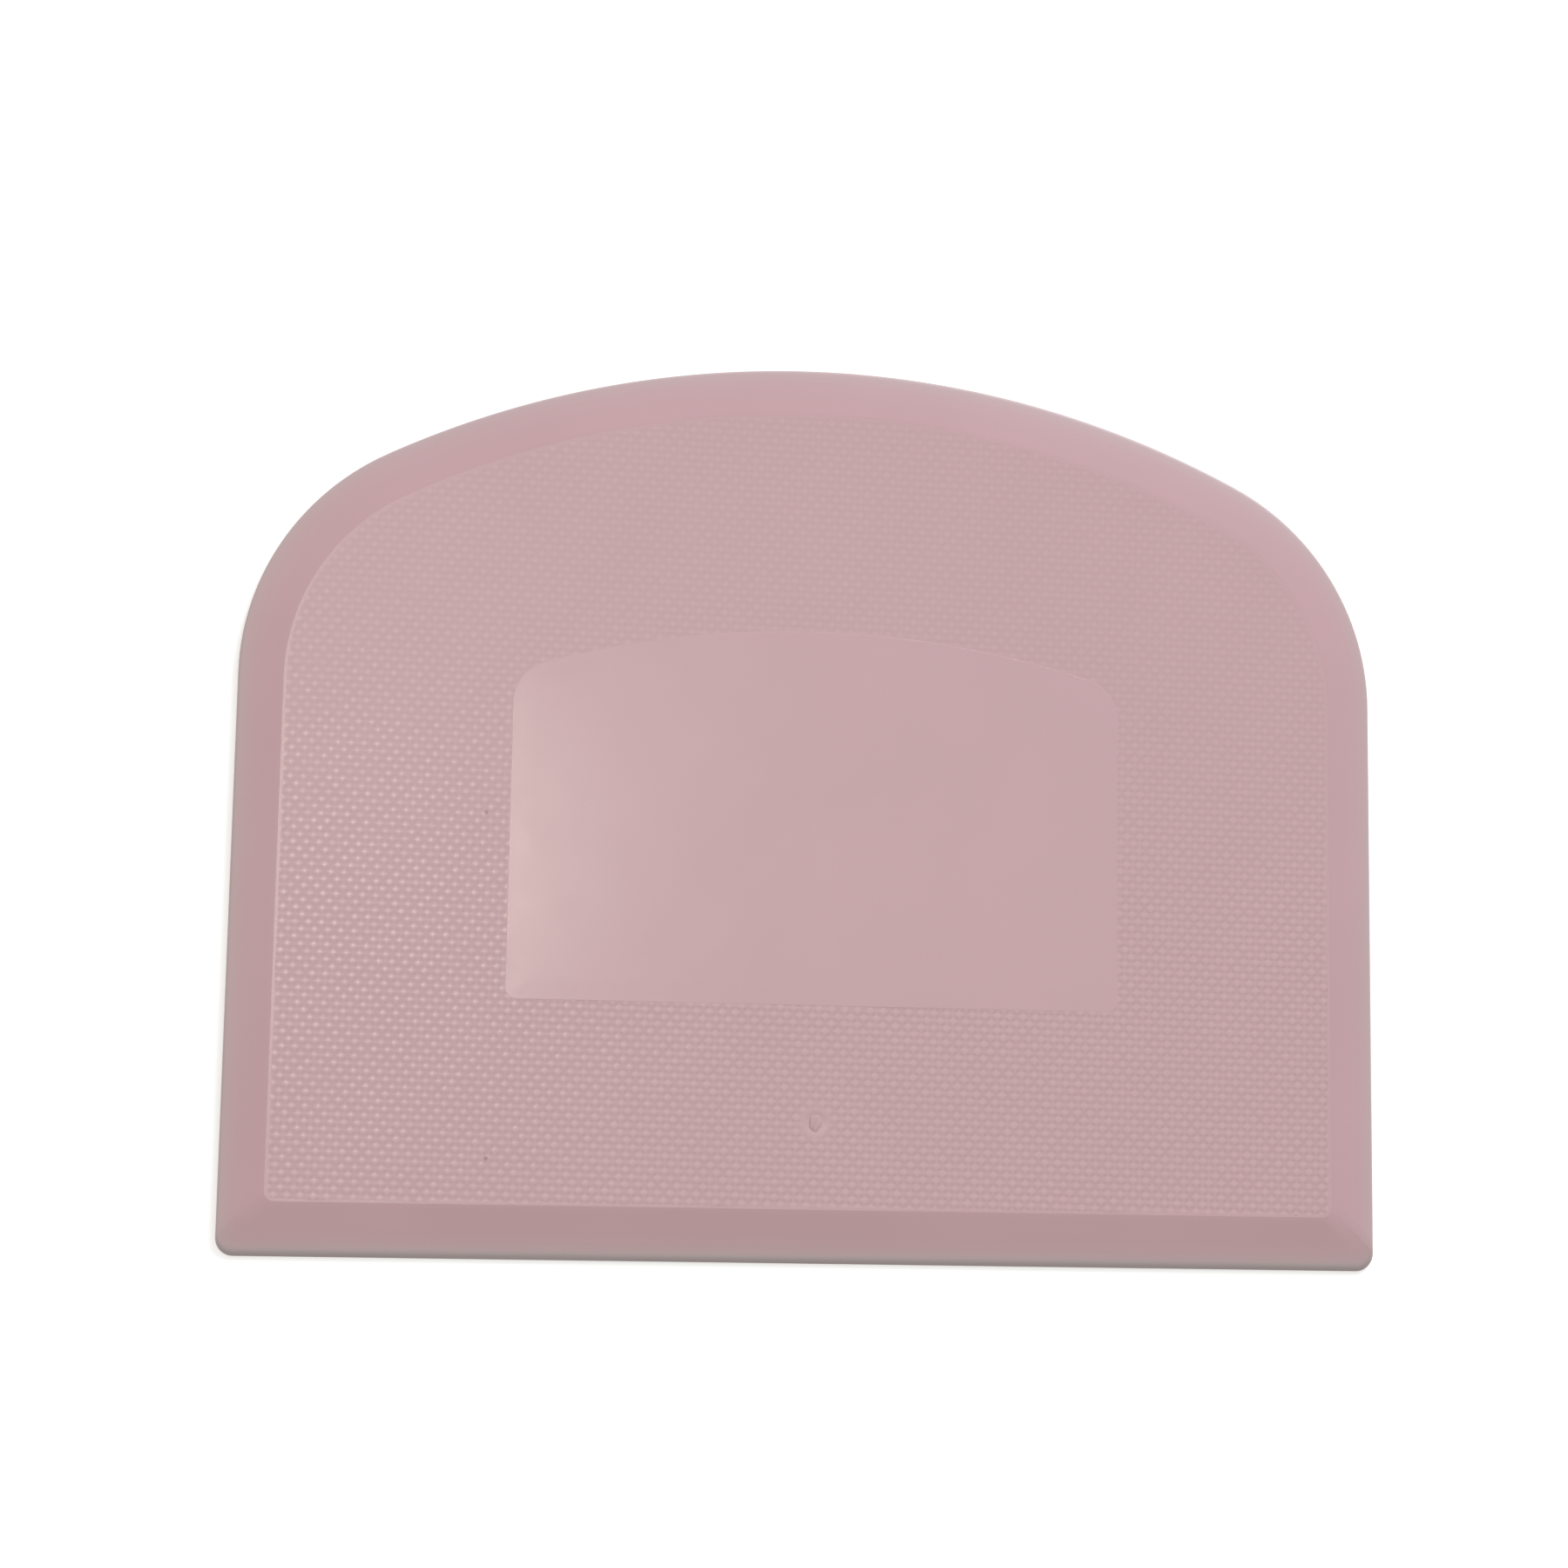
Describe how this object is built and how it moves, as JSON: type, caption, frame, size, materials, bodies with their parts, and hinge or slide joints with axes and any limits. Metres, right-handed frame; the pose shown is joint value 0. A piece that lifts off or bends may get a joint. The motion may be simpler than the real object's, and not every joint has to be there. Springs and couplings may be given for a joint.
{
  "type": "dough scraper",
  "caption": "Flat flexible plastic dough scraper with a straight edge, a curved bowl edge, bevelled rim, woven-texture grip panel and a smooth label window.",
  "frame": {"origin": "middle of the outline's box on the back face, where the scraper lies on a table", "axes": "+X along the straight edge, +Y towards the curved edge, +Z out of the front face through the thickness"},
  "size_m": [0.12, 0.0944, 0.0017],
  "materials": {
    "smooth_plastic": "satin, lightly translucent pink",
    "rim_plastic": "satin bevel, paler and greyer at the thin edge",
    "woven_plastic": "moulded canvas weave"
  },
  "bodies": {
    "root": {"core_plate": "smooth_plastic", "straight_edge": "rim_plastic", "left_flank_edge": "rim_plastic", "right_flank_edge": "rim_plastic", "curved_edge": "rim_plastic", "front_grip_panel": "woven_plastic", "label_window": "smooth_plastic", "back_grip_panel": "woven_plastic"}
  },
  "joints": []
}
